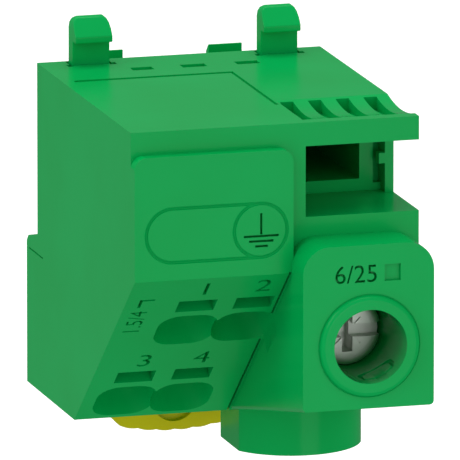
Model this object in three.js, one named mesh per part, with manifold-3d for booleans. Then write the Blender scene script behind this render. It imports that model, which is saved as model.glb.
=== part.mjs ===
// Protective-earth terminal block for a 35 mm top-hat rail.
// Four push-in terminals on a sloped front share one busbar with a large screw clamp.
// Sizes are millimetres. Inside the block, x runs from its left side, y from its main
// front towards the rail, and z up from its underside.
import * as THREE from 'three';
import { mergeVertices } from 'three/addons/utils/BufferGeometryUtils.js';
import Module from 'manifold-3d';

// ---- driving dimensions ----
const WIDTH = 36;             // two 18 mm modules
const HEIGHT = 41;            // underside to top face
const BACK_Y = 42.5;          // back face of the upper body
const RAIL_Y = 47.5;          // face that rests on the rail flange
const RAIL_FACE_Z = 11;       // middle of the foot's rail face, the part's origin
const RAIL_LOW_Z = 3;         // lower edge of the 35 mm rail
const RAIL_HEIGHT = 35;
const RAIL_THICK = 1;
const WALL = 1.6;
const GAP = 0.3;              // clearance between neighbouring pieces

const PANEL_Y = -1.7;         // front panel stands proud of the top band
const PANEL_W = 19.8;
const PANEL_TOP_Z = 38.2;
const PANEL_R = 1.5;
const SLOPE_TOP_Z = 23;       // sloped terminal face starts here
const SLOPE_END_Y = 25.7;     // and meets the underside here
const SLOPE_WALL = 3.5;

const FOOT_TOP_Z = 19.6;
const FOOT_BACK_Z = 18.6;
const FOOT_CHAMFER = 0.8;

const POD_X = 19.6;           // screw terminal housing
const POD_Y = -6.5;
const POD_TOP_Z = 27;
const POD_LOW_Z = 7.15;
const POD_R = 3.4;

const SCREW_X = 27.75;
const SCREW_Z = 14.5;
const RING_R = 6.4;
const RING_PROUD = 0.7;
const ACCESS_R = 4.55;
const HEAD_Y = 2.4;
const HEAD_R = 3.8;
const HEAD_LEN = 2.5;
const SHANK_R = 3;
const SCREW_TIP_Y = 20.7;
const SLOT_W = 1.3;
const SLOT_DEEP = 1.1;
const CROSS_W = 1.1;
const CROSS_LEN = 4.2;
const WASHER_LEN = 0.8;

const BOSS_X = 27.9;          // round cable entry under the housing
const BOSS_Y = 27.6;
const BOSS_R = 8.7;
const BOSS_LEFT_X = 20.2;
const BOSS_LOW_Z = -4.7;
const CABLE_R = 6.5;

const NOTCH_X = 21.8;         // finger notch under the ribbed lip
const NOTCH_Y = 12.5;
const NOTCH_LOW_Z = 29.4;
const LIP_LOW_Z = 38.1;
const POST_X = 34.9;
const POST_Y = 10.7;
const WINDOW = { x0: 23.6, x1: 32.2, z0: 30.9, z1: 36.6, depth: 9 };
const SCOOP = { y0: 1.7, y1: 13.4, sag: 0.75 };
const GRIP = { first: 23.1, pitch: 3.5, count: 4, width: 1.65 };
// Floor of a grip pocket from front to back, as (y, depth below the top face).
const GRIP_FLOOR = [[2.3, 0.3], [4.5, 0.95], [7, 1.4], [9.8, 1.7], [12.8, 1.85]];

const DIVIDER_X = 18.9;       // wall between the push-in and the screw chambers
const CLAMP_X = 20.9;
const CHAMBER_FRONT_Y = 7.2;
const CHAMBER_TOP_Z = 27.2;
const UPPER_RIGHT_Y = 24;
const COVER_Y = 40.9;

const TERMINAL_PITCH = 7.2;
// Push-in terminals: x of the middle, and distance down the slope of slot and entry.
const TERMINALS = [
  { x: 9.2, slot: 7.1, entry: 13.3 },
  { x: 9.2 + TERMINAL_PITCH, slot: 7.1, entry: 13.3 },
  { x: 5.4, slot: 25.15, entry: 31.4 },
  { x: 5.4 + TERMINAL_PITCH, slot: 25.15, entry: 31.4 },
];
const SLOT_LEN = 4.7;
const SLOT_HIGH = 2.7;
const FUNNEL_R = 3.45;
const FUNNEL_DEEP = 2.6;
const ENTRY_R = 1.8;

const SPRING_W = 4;           // push-in spring strip
const STRIP = 0.5;
const LEG_OFFSET = -8.6;
const LEG_LOW = 4.2;
const BOW_W = 12;
const BOW_R = 1.25;
const TONGUE_PIVOT = { v: -6.35, w: 11.6 };
const TONGUE_TILT = -0.39;
const TONGUE_LEN = 8.3;
const BAR_OFFSET = 2.2;
const BAR_THICK = 1;
const BAR_DEEP = { w0: 4.5, w1: 13.8 };

const LINK = { x0: 8, x1: 17.4, v0: 15, v1: 35.2, w0: 14.4, w1: 15.9 };
const RISER = { x0: 24.1, x1: 31.4, y0: 21, y1: 23.2, z0: 4, z1: 24.8 };
const CROSS_BAR = { y0: 20.6, z0: 22.8 };

const CAGE = { half: 6.1, side: 1.8, y0: 15.5, front: 3, y1: 35.7, back: 2.5, z0: 8.5, z1: 20.5 };
const CAGE_HOLE_R = 3.3;

const TAB_W = 4.3;            // fixed rail hooks
const TAB_XS = [8.7, 23.9];
const TAB_TOP_Z = 40.4;
const TAB_END_Y = 51.2;
const TAB_LIP_Z = 36.5;

const LATCH = { y0: 44.6, y1: 46, half: 8, lowZ: -5.7, archZ: -6.55, shoulderZ: 1.2, stemHalf: 5, topZ: 14.5 };
const LATCH_X = 18;
const NOSE = { half: 5.8, lowZ: -1, topZ: 2.8, y1: 50.4, lipY: 48.9, lipZ: 4.3 };
const DIMPLE = { r: 2.8, z: -2.7, depth: 0.5 };
const SCALLOPS = 6;
const SPRING_SEAT_Z = 4.2;
const SPRING_BOX = { half: 2.1, y0: 42.9, z1: 12.8 };
const COIL = { y: 44.6, r: 1.2, wire: 0.25, turns: 6 };

const HOOK_W = 4.7;           // snap hooks on the top rear edge
const HOOK_XS = [3.8, 27.7];
const HOOK_Y0 = 39.9;
const HOOK_STEM = 2;
const HOOK_TOP_Z = 46.95;
const HOOK_POCKET = 1.2;
const BARB = { reach: 1.4, lowZ: 43.9, faceZ: 44.7 };

const SEGMENTS = 40;

// ---- solids ----
const wasm = await Module();
wasm.setup();

const TO_X = new THREE.Matrix4().set(0, 0, 1, 0, 1, 0, 0, 0, 0, 1, 0, 0, 0, 0, 0, 1);
const TO_Y = new THREE.Matrix4().set(0, 1, 0, 0, 0, 0, 1, 0, 1, 0, 0, 0, 0, 0, 0, 1);

const slopeLength = Math.hypot(SLOPE_END_Y - PANEL_Y, SLOPE_TOP_Z);
const slopeCos = (SLOPE_END_Y - PANEL_Y) / slopeLength;
const slopeSin = SLOPE_TOP_Z / slopeLength;
// Slope frame: u along x, v down the slope, w into the body.
const SLOPE = new THREE.Matrix4().set(
  1, 0, 0, 0,
  0, slopeCos, slopeSin, PANEL_Y,
  0, -slopeSin, slopeCos, SLOPE_TOP_Z,
  0, 0, 0, 1,
);

function toSolid(geometry) {
  const bare = geometry.clone();
  bare.deleteAttribute('normal');
  bare.deleteAttribute('uv');
  const merged = mergeVertices(bare, 1e-4);
  return new wasm.Manifold(new wasm.Mesh({
    numProp: 3,
    vertProperties: new Float32Array(merged.attributes.position.array),
    triVerts: new Uint32Array(merged.index.array),
  }));
}

function toGeometry(solid) {
  const mesh = solid.getMesh();
  const geometry = new THREE.BufferGeometry();
  geometry.setAttribute('position', new THREE.BufferAttribute(mesh.vertProperties, 3));
  geometry.setIndex(new THREE.BufferAttribute(mesh.triVerts, 1));
  geometry.computeVertexNormals();
  return geometry;
}

function box(x0, x1, y0, y1, z0, z1) {
  const geometry = new THREE.BoxGeometry(x1 - x0, y1 - y0, z1 - z0);
  geometry.translate((x0 + x1) / 2, (y0 + y1) / 2, (z0 + z1) / 2);
  return toSolid(geometry);
}

function outline(points) {
  return new THREE.Shape(points.map(([u, v]) => new THREE.Vector2(u, v)));
}

function extrude(shape, length, matrix) {
  const geometry = new THREE.ExtrudeGeometry(shape, {
    depth: length,
    bevelEnabled: false,
    curveSegments: SEGMENTS / 4,
  });
  geometry.applyMatrix4(matrix);
  return toSolid(geometry);
}

// A (y, z) outline run along x.
function prismX(points, x0, x1) {
  const place = new THREE.Matrix4().makeTranslation(x0, 0, 0).multiply(TO_X);
  return extrude(outline(points), x1 - x0, place);
}

// A (z, x) shape run along y.
function prismY(shape, y0, y1) {
  const place = new THREE.Matrix4().makeTranslation(0, y0, 0).multiply(TO_Y);
  return extrude(shape, y1 - y0, place);
}

// A (v, w) outline in the slope frame run along x.
function slopePrism(points, x0, x1) {
  const place = SLOPE.clone().multiply(new THREE.Matrix4().makeTranslation(x0, 0, 0)).multiply(TO_X);
  return extrude(outline(points), x1 - x0, place);
}

function slopeBox(u0, u1, v0, v1, w0, w1) {
  return slopePrism([[v0, w0], [v1, w0], [v1, w1], [v0, w1]], u0, u1);
}

// A rectangle in (z, x) whose corners above z are rounded.
function archShape(x0, x1, z0, z1, radius) {
  const shape = new THREE.Shape();
  shape.moveTo(z0, x0);
  shape.lineTo(z1 - radius, x0);
  shape.absarc(z1 - radius, x0 + radius, radius, -Math.PI / 2, 0, false);
  shape.lineTo(z1, x1 - radius);
  shape.absarc(z1 - radius, x1 - radius, radius, 0, Math.PI / 2, false);
  shape.lineTo(z0, x1);
  shape.closePath();
  return shape;
}

// A solid of revolution from (radius, height) points, its axis laid along y.
function turnedY(points, x, z) {
  const profile = points.map(([r, h]) => new THREE.Vector2(r, h));
  const geometry = new THREE.LatheGeometry(profile, SEGMENTS);
  geometry.translate(x, 0, z);
  return toSolid(geometry);
}

function rodY(x, z, radius, y0, y1) {
  return turnedY([[0, y0], [radius, y0], [radius, y1], [0, y1]], x, z);
}

function rodZ(x, y, radius, z0, z1) {
  const geometry = new THREE.CylinderGeometry(radius, radius, z1 - z0, SEGMENTS);
  geometry.rotateX(Math.PI / 2);
  geometry.translate(x, y, (z0 + z1) / 2);
  return toSolid(geometry);
}

function rodX(y, z, radius, x0, x1) {
  const geometry = new THREE.CylinderGeometry(radius, radius, x1 - x0, SEGMENTS * 3);
  geometry.rotateZ(Math.PI / 2);
  geometry.translate((x0 + x1) / 2, y, z);
  return toSolid(geometry);
}

function union(...solids) {
  return solids.reduce((sum, solid) => sum.add(solid));
}

function cut(solid, ...tools) {
  return tools.reduce((rest, tool) => rest.subtract(tool), solid);
}

// ---- housing shell ----
function mainBody() {
  return prismX([
    [0, HEIGHT],
    [0, SLOPE_TOP_Z + PANEL_Y * slopeSin / slopeCos],
    [SLOPE_END_Y, 0],
    [RAIL_Y, 0],
    [RAIL_Y, FOOT_BACK_Z - FOOT_CHAMFER],
    [RAIL_Y - FOOT_CHAMFER, FOOT_BACK_Z],
    [BACK_Y, FOOT_TOP_Z],
    [BACK_Y, HEIGHT],
  ], 0, WIDTH);
}

function frontPanel() {
  const slab = prismX([
    [PANEL_Y, PANEL_TOP_Z],
    [PANEL_Y, SLOPE_TOP_Z],
    [2, SLOPE_TOP_Z - (2 - PANEL_Y) * slopeSin / slopeCos],
    [2, PANEL_TOP_Z],
  ], 0, PANEL_W);
  return slab.intersect(prismY(archShape(0, PANEL_W, 0, PANEL_TOP_Z, PANEL_R), PANEL_Y - 1, 3));
}

function screwPod() {
  const block = prismY(archShape(POD_X, WIDTH, -1, POD_TOP_Z, POD_R), POD_Y, SLOPE_END_Y);
  const keep = prismX([
    [POD_Y, HEIGHT],
    [POD_Y, POD_LOW_Z],
    [SLOPE_END_Y, 0],
    [SLOPE_END_Y, HEIGHT],
  ], POD_X, WIDTH);
  return block.intersect(keep).add(rodY(SCREW_X, SCREW_Z, RING_R, POD_Y - RING_PROUD, 0));
}

function cableBoss() {
  const barrel = rodZ(BOSS_X, BOSS_Y, BOSS_R, BOSS_LOW_Z, 2);
  return barrel.intersect(box(BOSS_LEFT_X, WIDTH, 0, BACK_Y, BOSS_LOW_Z, 2));
}

function lipTools() {
  const span = SCOOP.y1 - SCOOP.y0;
  const radius = (span * span / 4 + SCOOP.sag * SCOOP.sag) / (2 * SCOOP.sag);
  const middle = (SCOOP.y0 + SCOOP.y1) / 2;
  const tools = [
    rodX(middle, HEIGHT - SCOOP.sag + radius, radius, NOTCH_X + 0.1, WIDTH + 1),
    box(NOTCH_X, WIDTH + 1, -1, NOTCH_Y, NOTCH_LOW_Z, LIP_LOW_Z),
    box(WINDOW.x0, WINDOW.x1, NOTCH_Y - 1, NOTCH_Y + WINDOW.depth, WINDOW.z0, WINDOW.z1),
  ];
  for (let i = 0; i < GRIP.count; i += 1) {
    const x = GRIP.first + i * GRIP.pitch;
    tools.push(prismX([
      [GRIP_FLOOR.at(-1)[0], HEIGHT + 1],
      [GRIP_FLOOR[0][0], HEIGHT + 1],
      ...GRIP_FLOOR.map(([y, depth]) => [y, HEIGHT - depth]),
    ], x - GRIP.width / 2, x + GRIP.width / 2));
  }
  return tools;
}

function notchPost() {
  const post = box(POST_X, WIDTH, POST_Y, NOTCH_Y + 0.5, NOTCH_LOW_Z - 0.5, LIP_LOW_Z + 0.5);
  return post.add(box(POST_X - 0.75, POST_X + 0.2, POST_Y, NOTCH_Y + 0.5, 33, 34.3));
}

// Room for the springs behind the sloped face, open at the back.
function pushInChamber() {
  const innerY = PANEL_Y + slopeSin * SLOPE_WALL;
  const innerZ = SLOPE_TOP_Z + slopeCos * SLOPE_WALL;
  const lowV = (innerZ - WALL) / slopeSin;
  return prismX([
    [WALL, HEIGHT - WALL],
    [WALL, innerZ - (WALL - innerY) * slopeSin / slopeCos],
    [innerY + lowV * slopeCos, WALL],
    [COVER_Y, WALL],
    [COVER_Y, HEIGHT - WALL],
  ], WALL, DIVIDER_X);
}

function clampChamber() {
  const low = prismX([
    [CHAMBER_FRONT_Y, CHAMBER_TOP_Z],
    [CHAMBER_FRONT_Y, 6.2],
    [BOSS_Y - BOSS_R, 3.2],
    [BOSS_Y, WALL],
    [COVER_Y, WALL],
    [COVER_Y, CHAMBER_TOP_Z],
  ], CLAMP_X, WIDTH - WALL);
  const high = box(CLAMP_X, WIDTH - WALL, UPPER_RIGHT_Y, COVER_Y, CHAMBER_TOP_Z - 1, HEIGHT - WALL);
  return low.add(high);
}

function terminalTools() {
  const tools = [];
  for (const terminal of TERMINALS) {
    tools.push(slopeBox(terminal.x - SLOT_LEN / 2, terminal.x + SLOT_LEN / 2,
      terminal.slot - SLOT_HIGH / 2, terminal.slot + SLOT_HIGH / 2, -1, SLOPE_WALL + 0.5));
    const lift = 0.5;
    const flare = (FUNNEL_R - ENTRY_R) * lift / FUNNEL_DEEP;
    const funnel = new THREE.LatheGeometry([
      new THREE.Vector2(0, -lift),
      new THREE.Vector2(FUNNEL_R + flare, -lift),
      new THREE.Vector2(ENTRY_R, FUNNEL_DEEP),
      new THREE.Vector2(ENTRY_R, SLOPE_WALL + lift),
      new THREE.Vector2(0, SLOPE_WALL + lift),
    ], SEGMENTS);
    funnel.rotateX(Math.PI / 2);
    funnel.translate(terminal.x, terminal.entry, 0);
    funnel.applyMatrix4(SLOPE);
    tools.push(toSolid(funnel));
  }
  return tools;
}

function hookPockets() {
  return HOOK_XS.map((x) => box(x - GAP, x + HOOK_W + GAP, HOOK_Y0 - GAP,
    HOOK_Y0 + HOOK_STEM + GAP, HEIGHT - HOOK_POCKET, HEIGHT + 1));
}

function housingShell() {
  const outer = union(mainBody(), frontPanel(), screwPod(), cableBoss());
  const rearOpening = box(WALL, WIDTH - WALL, COVER_Y - 0.3, RAIL_Y + 1, -1, HEIGHT - WALL);
  const busPassage = box(DIVIDER_X - 1, CLAMP_X + 1, CROSS_BAR.y0 - GAP, COVER_Y,
    CROSS_BAR.z0 - GAP, RISER.z1 + GAP);
  return cut(
    outer,
    ...lipTools(),
    pushInChamber(),
    clampChamber(),
    rearOpening,
    busPassage,
    rodY(SCREW_X, SCREW_Z, ACCESS_R, POD_Y - 2, CHAMBER_FRONT_Y - 1.1),
    rodY(SCREW_X, SCREW_Z, CAGE_HOLE_R, 0, CHAMBER_FRONT_Y + 1),
    rodZ(BOSS_X, BOSS_Y, CABLE_R, BOSS_LOW_Z - 1, WALL + 2),
    ...terminalTools(),
    ...hookPockets(),
  ).add(notchPost());
}

// ---- rear cover with rail hooks and latch guide ----
function rearCover() {
  const x0 = WALL + GAP;
  const x1 = WIDTH - WALL - GAP;
  const plate = box(x0, x1, COVER_Y, BACK_Y, 0, HEIGHT - WALL - GAP);
  const foot = prismX([
    [COVER_Y, 0],
    [RAIL_Y, 0],
    [RAIL_Y, FOOT_BACK_Z - FOOT_CHAMFER],
    [RAIL_Y - FOOT_CHAMFER, FOOT_BACK_Z],
    [BACK_Y, FOOT_TOP_Z],
    [COVER_Y, FOOT_TOP_Z],
  ], x0, x1);
  const railTop = RAIL_LOW_Z + RAIL_HEIGHT;
  const hooks = TAB_XS.map((x) => prismX([
    [BACK_Y - 1, FOOT_TOP_Z - 4],
    [RAIL_Y, FOOT_TOP_Z - 4],
    [RAIL_Y, railTop + GAP],
    [RAIL_Y + RAIL_THICK + 0.4, railTop + GAP],
    [RAIL_Y + RAIL_THICK + 0.4, TAB_LIP_Z],
    [TAB_END_Y - 0.6, TAB_LIP_Z],
    [TAB_END_Y, TAB_LIP_Z + 1],
    [TAB_END_Y, TAB_TOP_Z - 1],
    [TAB_END_Y - 1, TAB_TOP_Z],
    [BACK_Y + GAP, TAB_TOP_Z],
    [BACK_Y + GAP, HEIGHT - WALL - GAP],
    [BACK_Y - 1, HEIGHT - WALL - GAP],
  ], x, x + TAB_W));
  const guide = [
    box(LATCH_X - LATCH.stemHalf - GAP, LATCH_X + LATCH.stemHalf + GAP,
      LATCH.y0 - GAP, LATCH.y1 + GAP, -1, LATCH.topZ + GAP + 0.4),
    box(LATCH_X - LATCH.half - GAP, LATCH_X + LATCH.half + GAP,
      LATCH.y0 - GAP, LATCH.y1 + GAP, -1, LATCH.shoulderZ + GAP),
    box(LATCH_X - NOSE.half - GAP, LATCH_X + NOSE.half + GAP,
      LATCH.y0 - GAP, RAIL_Y + 1, -1, NOSE.lipZ + GAP),
    box(LATCH_X - SPRING_BOX.half, LATCH_X + SPRING_BOX.half,
      SPRING_BOX.y0, LATCH.y1 + GAP, SPRING_SEAT_Z, SPRING_BOX.z1),
  ];
  const seat = box(LATCH_X - SPRING_BOX.half + GAP * 2, LATCH_X + SPRING_BOX.half - GAP * 2,
    SPRING_BOX.y0 - 1, LATCH.y1, SPRING_SEAT_Z - 1, SPRING_SEAT_Z);
  return cut(union(plate, foot, ...hooks), ...guide).add(seat);
}

// ---- yellow rail latch ----
function railLatch() {
  const edge = [[LATCH.shoulderZ, LATCH_X - LATCH.half], [LATCH.lowZ + 1, LATCH_X - LATCH.half]];
  const span = LATCH.half - 1;
  const steps = SCALLOPS * 6;
  for (let i = 0; i <= steps; i += 1) {
    const t = i / steps * 2 - 1;
    const arch = LATCH.archZ + (LATCH.lowZ - LATCH.archZ) * t * t;
    const wave = 0.15 * Math.abs(Math.sin(Math.PI * SCALLOPS * (t + 1) / 2));
    edge.push([arch - wave, LATCH_X + span * t]);
  }
  edge.push([LATCH.lowZ + 1, LATCH_X + LATCH.half], [LATCH.shoulderZ, LATCH_X + LATCH.half]);
  const plate = prismY(outline(edge), LATCH.y0, LATCH.y1);
  const stem = box(LATCH_X - LATCH.stemHalf, LATCH_X + LATCH.stemHalf, LATCH.y0, LATCH.y1,
    LATCH.shoulderZ - 1, LATCH.topZ);
  const nose = prismX([
    [LATCH.y1 - 1, NOSE.lowZ],
    [NOSE.lipY - 1, NOSE.lowZ],
    [NOSE.y1, NOSE.topZ - 0.6],
    [NOSE.y1, NOSE.lipZ - 0.5],
    [NOSE.y1 - 0.5, NOSE.lipZ],
    [NOSE.lipY, NOSE.lipZ],
    [NOSE.lipY, NOSE.topZ],
    [LATCH.y1 - 1, NOSE.topZ],
  ], LATCH_X - NOSE.half, LATCH_X + NOSE.half);
  const window = box(LATCH_X - SPRING_BOX.half, LATCH_X + SPRING_BOX.half, LATCH.y0 - 1,
    LATCH.y1 + 0.01, SPRING_SEAT_Z - 1 - GAP, SPRING_BOX.z1 - GAP);
  const dimple = rodY(LATCH_X, DIMPLE.z, DIMPLE.r, LATCH.y0 - 1, LATCH.y0 + DIMPLE.depth);
  return cut(union(plate, stem, nose), window, dimple);
}

class Helix extends THREE.Curve {
  constructor(z0, z1) {
    super();
    this.z0 = z0;
    this.z1 = z1;
  }

  getPoint(t, target = new THREE.Vector3()) {
    const turn = t * COIL.turns * Math.PI * 2;
    return target.set(
      LATCH_X + COIL.r * Math.cos(turn),
      COIL.y + COIL.r * Math.sin(turn),
      this.z0 + (this.z1 - this.z0) * t,
    );
  }
}

function latchSpring() {
  const low = SPRING_SEAT_Z + GAP + COIL.wire;
  const high = SPRING_BOX.z1 - GAP * 2 - COIL.wire;
  const section = new THREE.Shape();
  section.absarc(0, 0, COIL.wire, 0, Math.PI * 2, false);
  return toSolid(new THREE.ExtrudeGeometry(section, {
    steps: COIL.turns * 12,
    curveSegments: 6,
    bevelEnabled: false,
    extrudePath: new Helix(low, high),
  }));
}

// ---- snap hook, drawn at x = 0 ----
function snapHook() {
  const back = HOOK_Y0 + HOOK_STEM;
  return prismX([
    [HOOK_Y0, HEIGHT - HOOK_POCKET + GAP],
    [back, HEIGHT - HOOK_POCKET + GAP],
    [back, HOOK_TOP_Z - 0.9],
    [back - 0.3, HOOK_TOP_Z - 0.3],
    [back - 0.9, HOOK_TOP_Z],
    [back - 1.6, HOOK_TOP_Z - 0.15],
    [HOOK_Y0 - BARB.reach, BARB.faceZ],
    [HOOK_Y0 - BARB.reach, BARB.lowZ],
    [HOOK_Y0, BARB.lowZ],
  ], 0, HOOK_W);
}

// ---- screw clamp ----
function terminalScrew() {
  const headBack = HEAD_Y + HEAD_LEN;
  const body = turnedY([
    [0, HEAD_Y],
    [HEAD_R * 0.55, HEAD_Y + 0.1],
    [HEAD_R * 0.85, HEAD_Y + 0.35],
    [HEAD_R, HEAD_Y + 0.8],
    [HEAD_R, headBack],
    [SHANK_R, headBack],
    [SHANK_R, SCREW_TIP_Y - 1],
    [SHANK_R - 1, SCREW_TIP_Y],
    [0, SCREW_TIP_Y],
  ], SCREW_X, SCREW_Z);
  const slot = box(SCREW_X - HEAD_R - 1, SCREW_X + HEAD_R + 1, HEAD_Y - 1, HEAD_Y + SLOT_DEEP,
    SCREW_Z - SLOT_W / 2, SCREW_Z + SLOT_W / 2);
  const half = CROSS_W / 2;
  const arms = [
    box(SCREW_X - CROSS_LEN / 2, SCREW_X + CROSS_LEN / 2, HEAD_Y - 1, HEAD_Y + HEAD_LEN - 0.6,
      SCREW_Z - half, SCREW_Z + half),
    box(SCREW_X - half, SCREW_X + half, HEAD_Y - 1, HEAD_Y + HEAD_LEN - 0.6,
      SCREW_Z - CROSS_LEN / 2, SCREW_Z + CROSS_LEN / 2),
  ];
  return cut(body, slot, ...arms);
}

function screwWasher() {
  const y0 = HEAD_Y + HEAD_LEN + 0.2;
  return rodY(SCREW_X, SCREW_Z, ACCESS_R - GAP, y0, y0 + WASHER_LEN)
    .subtract(rodY(SCREW_X, SCREW_Z, SHANK_R + GAP, y0 - 1, y0 + WASHER_LEN + 1));
}

function clampCage() {
  const x0 = SCREW_X - CAGE.half;
  const x1 = SCREW_X + CAGE.half;
  return cut(
    box(x0, x1, CAGE.y0, CAGE.y1, CAGE.z0, CAGE.z1),
    box(x0 + CAGE.side, x1 - CAGE.side, CAGE.y0 + CAGE.front, CAGE.y1 - CAGE.back,
      CAGE.z0 - 1, CAGE.z1 + 1),
    rodY(SCREW_X, SCREW_Z, CAGE_HOLE_R, CAGE.y0 - 1, CAGE.y0 + CAGE.front + 1),
  );
}

function earthBusbar() {
  return union(
    slopeBox(LINK.x0, LINK.x1, LINK.v0, LINK.v1, LINK.w0, LINK.w1),
    box(LINK.x0, RISER.x1, CROSS_BAR.y0, RISER.y1, CROSS_BAR.z0, RISER.z1),
    box(RISER.x0, RISER.x1, RISER.y0, RISER.y1, RISER.z0, RISER.z1),
  );
}

// ---- push-in contacts ----
function contactBar(first, second) {
  const v = first.entry + BAR_OFFSET;
  return slopeBox(first.x - SPRING_W / 2 - 0.2, second.x + SPRING_W / 2 + 0.2, v, v + BAR_THICK,
    BAR_DEEP.w0, BAR_DEEP.w1);
}

function clampSpring(terminal) {
  const legV = terminal.entry + LEG_OFFSET;
  const middle = legV + BOW_R;
  const points = [[legV + STRIP, BOW_W], [legV + STRIP, LEG_LOW], [legV, LEG_LOW]];
  const steps = 12;
  for (let i = 0; i <= steps; i += 1) {
    const angle = Math.PI - Math.PI * i / steps;
    points.push([middle + BOW_R * Math.cos(angle), BOW_W + BOW_R * Math.sin(angle)]);
  }
  for (let i = 0; i < steps; i += 1) {
    const angle = Math.PI * i / steps;
    const inner = BOW_R - STRIP;
    points.push([middle + inner * Math.cos(angle), BOW_W + inner * Math.sin(angle)]);
  }
  return slopePrism(points, terminal.x - SPRING_W / 2, terminal.x + SPRING_W / 2);
}

function clampTongue(terminal) {
  const along = [Math.cos(TONGUE_TILT), Math.sin(TONGUE_TILT)];
  const start = [terminal.entry + TONGUE_PIVOT.v, TONGUE_PIVOT.w];
  const corner = (t, s) => [
    start[0] + along[0] * t - along[1] * s,
    start[1] + along[1] * t + along[0] * s,
  ];
  const half = STRIP / 2;
  return slopePrism([
    corner(0.15, -half),
    corner(TONGUE_LEN, -half),
    corner(TONGUE_LEN, half),
    corner(0.15, half),
  ], terminal.x - SPRING_W / 2, terminal.x + SPRING_W / 2);
}

// ---- materials and assembly ----
function finish(color, roughness, metalness) {
  return () => new THREE.MeshStandardMaterial({ color, roughness, metalness });
}

const greenPlastic = finish(0x1ca650, 0.35, 0);
const yellowPlastic = finish(0xa59d00, 0.4, 0);
const platedSteel = finish(0xc8c8c6, 0.3, 1);
const springSteel = finish(0xb0b2b4, 0.35, 1);
const tinnedCopper = finish(0xc9b9a4, 0.35, 1);

const block = new THREE.Group();
block.position.set(-WIDTH / 2, -RAIL_Y, -RAIL_FACE_Z);

function addPiece(name, solid, material) {
  const mesh = new THREE.Mesh(toGeometry(solid), material());
  mesh.name = name;
  block.add(mesh);
  return mesh;
}

addPiece('housing_shell', housingShell(), greenPlastic);
addPiece('rear_cover', rearCover(), greenPlastic);
addPiece('rail_latch', railLatch(), yellowPlastic);
addPiece('latch_spring', latchSpring(), springSteel);
['left', 'right'].forEach((side, i) => {
  addPiece(`snap_hook_${side}`, snapHook(), greenPlastic).position.x = HOOK_XS[i];
});
addPiece('terminal_screw', terminalScrew(), platedSteel);
addPiece('screw_washer', screwWasher(), platedSteel);
addPiece('clamp_cage', clampCage(), platedSteel);
addPiece('earth_busbar', earthBusbar(), tinnedCopper);
addPiece('contact_bar_upper', contactBar(TERMINALS[0], TERMINALS[1]), tinnedCopper);
addPiece('contact_bar_lower', contactBar(TERMINALS[2], TERMINALS[3]), tinnedCopper);
TERMINALS.forEach((terminal, i) => {
  addPiece(`clamp_spring_${i + 1}`, clampSpring(terminal), springSteel);
  addPiece(`clamp_tongue_${i + 1}`, clampTongue(terminal), springSteel);
});

const part = new THREE.Group();
part.add(block);
export default part;
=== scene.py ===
"""Rail-mounted protective-earth terminal block: moulded shell, hooks, latch and clamps, dressed and lit."""
import logging
import math
from collections.abc import Callable, Sequence
from dataclasses import dataclass, field
from enum import Enum

import bpy
import numpy as np
from mathutils import Matrix, Vector


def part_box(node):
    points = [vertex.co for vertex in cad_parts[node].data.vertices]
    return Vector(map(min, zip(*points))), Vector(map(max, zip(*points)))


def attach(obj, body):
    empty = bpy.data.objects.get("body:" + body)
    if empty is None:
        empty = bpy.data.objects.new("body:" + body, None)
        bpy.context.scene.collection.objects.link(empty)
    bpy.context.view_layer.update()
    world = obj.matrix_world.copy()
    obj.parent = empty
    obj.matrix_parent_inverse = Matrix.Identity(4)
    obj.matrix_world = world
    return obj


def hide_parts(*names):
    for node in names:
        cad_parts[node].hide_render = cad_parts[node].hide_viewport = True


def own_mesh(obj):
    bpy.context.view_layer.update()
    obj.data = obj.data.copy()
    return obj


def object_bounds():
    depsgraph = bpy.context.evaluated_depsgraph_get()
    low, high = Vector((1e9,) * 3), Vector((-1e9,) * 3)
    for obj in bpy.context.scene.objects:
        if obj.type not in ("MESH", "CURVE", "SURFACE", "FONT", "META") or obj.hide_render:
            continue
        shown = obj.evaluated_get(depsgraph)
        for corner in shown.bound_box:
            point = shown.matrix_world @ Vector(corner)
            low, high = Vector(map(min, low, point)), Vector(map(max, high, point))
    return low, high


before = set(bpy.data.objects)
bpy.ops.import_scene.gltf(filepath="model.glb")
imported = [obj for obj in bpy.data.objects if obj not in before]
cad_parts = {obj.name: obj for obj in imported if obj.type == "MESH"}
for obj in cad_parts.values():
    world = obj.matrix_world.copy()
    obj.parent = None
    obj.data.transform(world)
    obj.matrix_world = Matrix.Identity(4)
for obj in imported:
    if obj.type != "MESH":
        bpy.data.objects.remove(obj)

CAD_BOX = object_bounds()
LOG = logging.getLogger("terminal_block")
MM = 0.001
GRID = 1e-3                         # the step, in mm, of the points that go into a boolean
SHARP_BEND = math.radians(30)       # edges bent further than this are rounded
SMOOTH_BEND = math.radians(32)      # edges bent less than this are shaded smooth
FLAT_BEND = math.radians(0.4)       # edges bent less than this are dissolved

Point = tuple[float, float]
Triple = tuple[float, float, float]


class Cut(Enum):
    """How one solid acts on another."""

    JOIN = "UNION"
    TAKE = "DIFFERENCE"
    KEEP = "INTERSECT"


class Run(Enum):
    """The direction in which an outline is extruded, as the order of its (u, v, run) axes."""

    X = (1, 2, 0)
    Y = (0, 2, 1)
    Z = (0, 1, 2)


@dataclass(frozen=True)
class Datum:
    """The block's own axes: x from its left side, y from the main front, z up from its underside, in mm."""

    height: float = 41.0
    front_to_rail: float = 47.5

    def origin(self) -> Vector:
        """Return the block's corner in the part's frame, in metres."""
        low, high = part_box("housing_shell")
        return Vector((low.x, high.y - self.front_to_rail * MM, high.z - self.height * MM))

    def matrix(self) -> Matrix:
        """Return the placement that turns block millimetres into metres of the part's frame."""
        return Matrix.Translation(self.origin()) @ Matrix.Scale(MM, 4)


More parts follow.
